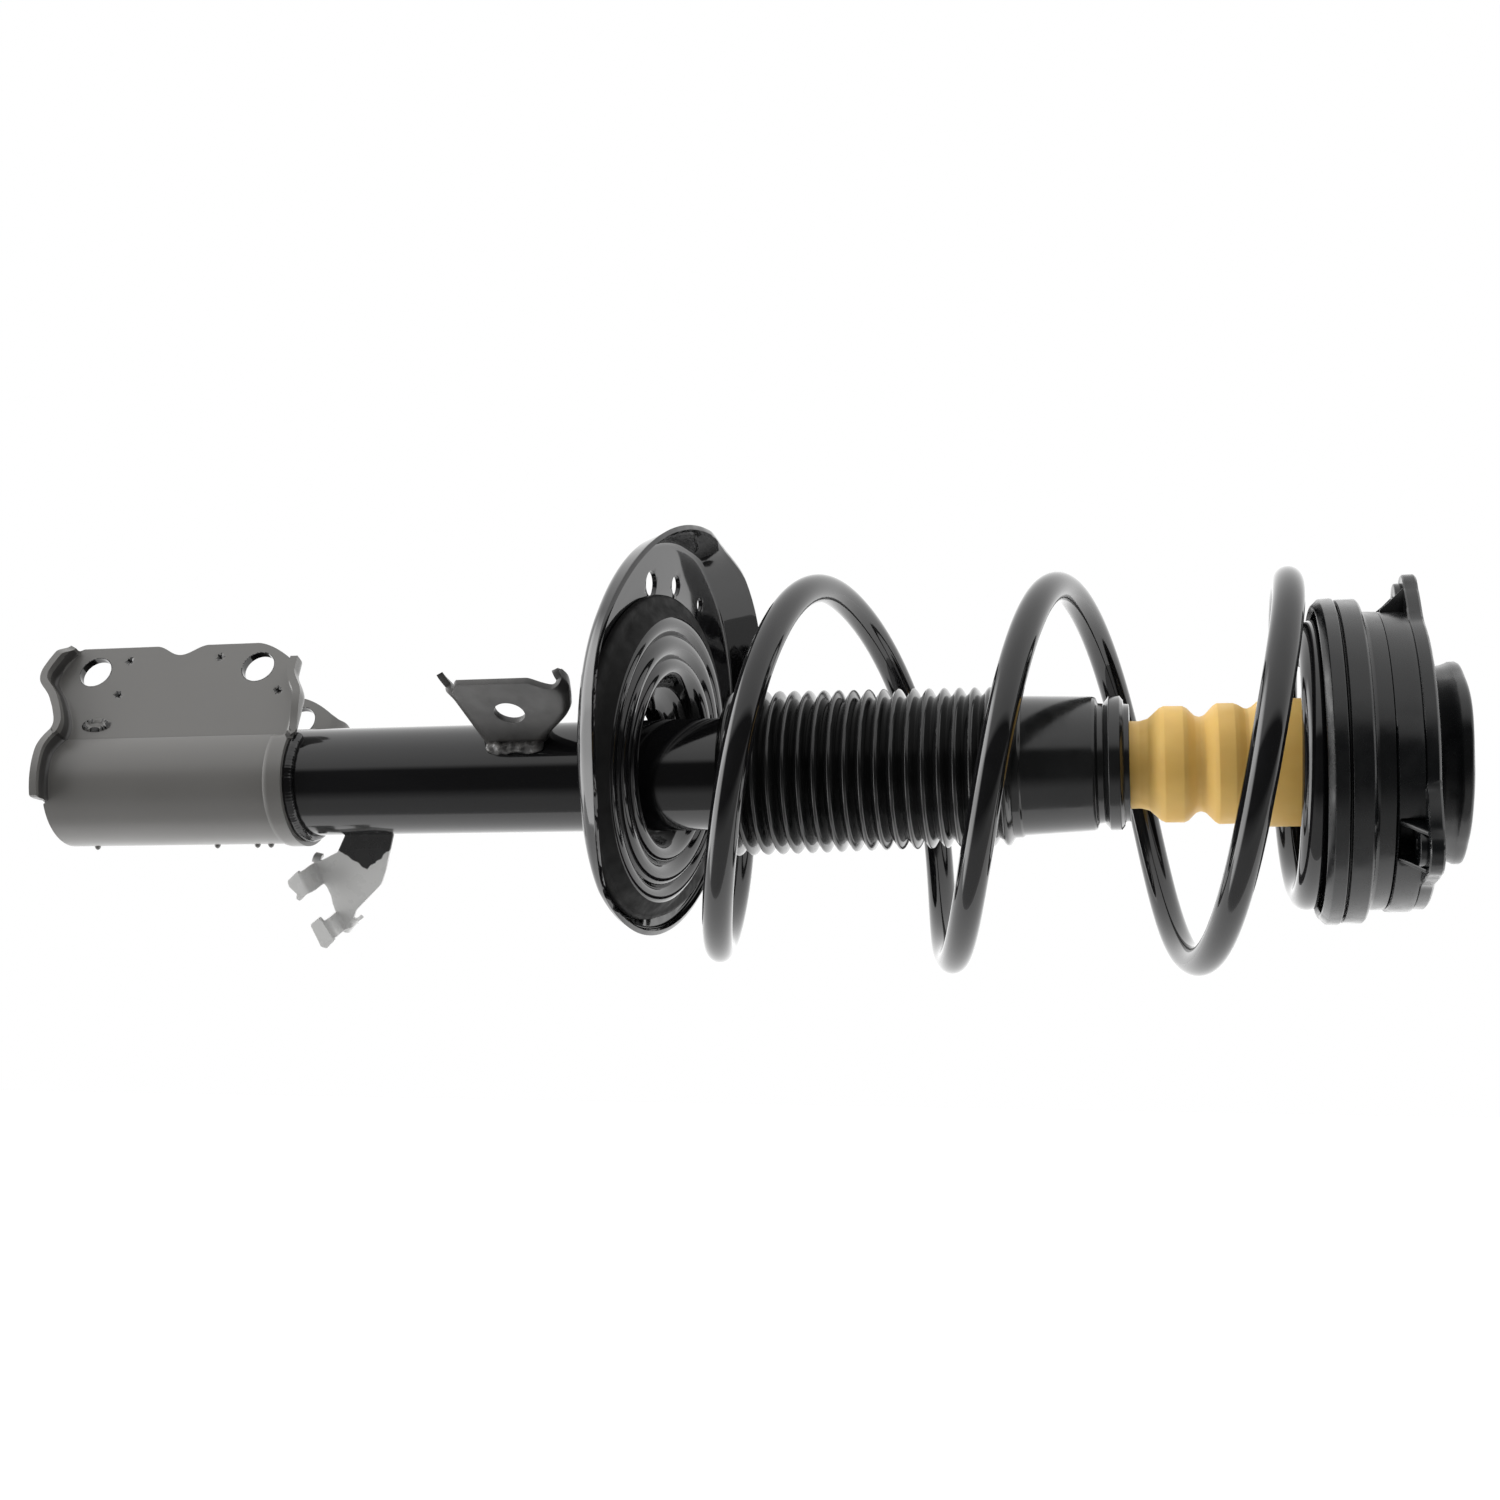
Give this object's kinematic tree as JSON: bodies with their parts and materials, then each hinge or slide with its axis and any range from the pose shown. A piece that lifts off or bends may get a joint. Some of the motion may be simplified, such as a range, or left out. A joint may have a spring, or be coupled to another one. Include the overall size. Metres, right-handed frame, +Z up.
{
  "type": "suspension strut assembly",
  "caption": "Suspension strut: damper tube with clevis bracket, sway-bar and hose brackets, dished spring seat, coil spring, ribbed boot, tan bump stop and bearing top mount.",
  "frame": {"origin": "centre of the top mount's bolting face, on the strut axis", "axes": "+Z up along the strut axis, out through the top mount; +X towards the knuckle bracket's two ears; +Y along the knuckle bolts"},
  "size_m": [0.2058, 0.1889, 0.656],
  "materials": {
    "gloss_black_paint": "gloss baked black paint",
    "satin_black_paint": "semi-gloss black paint",
    "clip_paint": "thin semi-gloss black paint",
    "weld_black": "painted weld bead",
    "spring_paint": "gloss black powder coat",
    "machined_steel": "turned steel",
    "zinc_steel": "zinc plated steel",
    "bearing_steel": "polished balls",
    "chrome_rod": "hard chrome",
    "brass_valve": "turned brass",
    "seal_rubber": "nitrile rubber",
    "pad_rubber": "matt black rubber",
    "mount_rubber": "matt black rubber",
    "boot_plastic": "semi-gloss black elastomer",
    "tan_foam": "tan cellular polyurethane, faintly mottled",
    "mount_plastic": "matt black glass filled plastic",
    "band_plastic": "brown plastic"
  },
  "bodies": {
    "mount_and_rod": {"mount_housing": "mount_plastic", "mount_rubber": "mount_rubber", "mount_core": "zinc_steel", "mount_inserts": "zinc_steel", "hub_cap": "mount_plastic", "rod_nut": "zinc_steel", "piston_rod": "chrome_rod", "piston": "machined_steel", "piston_band": "band_plastic", "piston_nut": "zinc_steel", "rebound_stop": "seal_rubber", "bearing_upper": "mount_plastic"},
    "bearing_cage_set": {"bearing_cage": "band_plastic", "bearing_balls": "bearing_steel"},
    "upper_seat": {"bearing_lower": "mount_plastic", "upper_spring_pad": "pad_rubber", "bump_stop": "tan_foam", "boot_collar": "boot_plastic", "dust_boot": "boot_plastic", "coil_spring": "spring_paint"},
    "strut_body": {"damper_tube": "gloss_black_paint", "tube_base_cap": "gloss_black_paint", "pressure_tube": "machined_steel", "base_valve": "brass_valve", "rod_guide": "machined_steel", "oil_seal": "seal_rubber", "tube_end_cap": "gloss_black_paint", "knuckle_bracket": "satin_black_paint", "knuckle_weld": "gloss_black_paint", "link_bracket": "satin_black_paint", "link_bracket_weld": "weld_black", "hose_clip_bracket": "clip_paint", "lower_spring_seat": "gloss_black_paint", "lower_seat_weld": "weld_black", "lower_spring_pad": "pad_rubber"}
  },
  "joints": [
    {"name": "steer", "type": "hinge", "parent": "mount_and_rod", "child": "upper_seat", "pos_m": [0, 0, 0], "axis": [0, 0, 1], "range_deg": [-40, 40]},
    {"name": "cage_turn", "type": "hinge", "parent": "mount_and_rod", "child": "bearing_cage_set", "pos_m": [0, 0, 0], "axis": [0, 0, 1], "range_deg": [-20, 20]},
    {"name": "stroke", "type": "slide", "parent": "upper_seat", "child": "strut_body", "axis": [0, 0, 1], "range_m": [0, 0.12], "stiffness_N_per_m": 25000, "springref_m": -0.04, "deforming": ["coil_spring", "dust_boot", "boot_collar", "bump_stop"]}
  ],
  "couplings": [
    {"joint": "cage_turn", "follows": "steer", "ratio": 0.5}
  ]
}
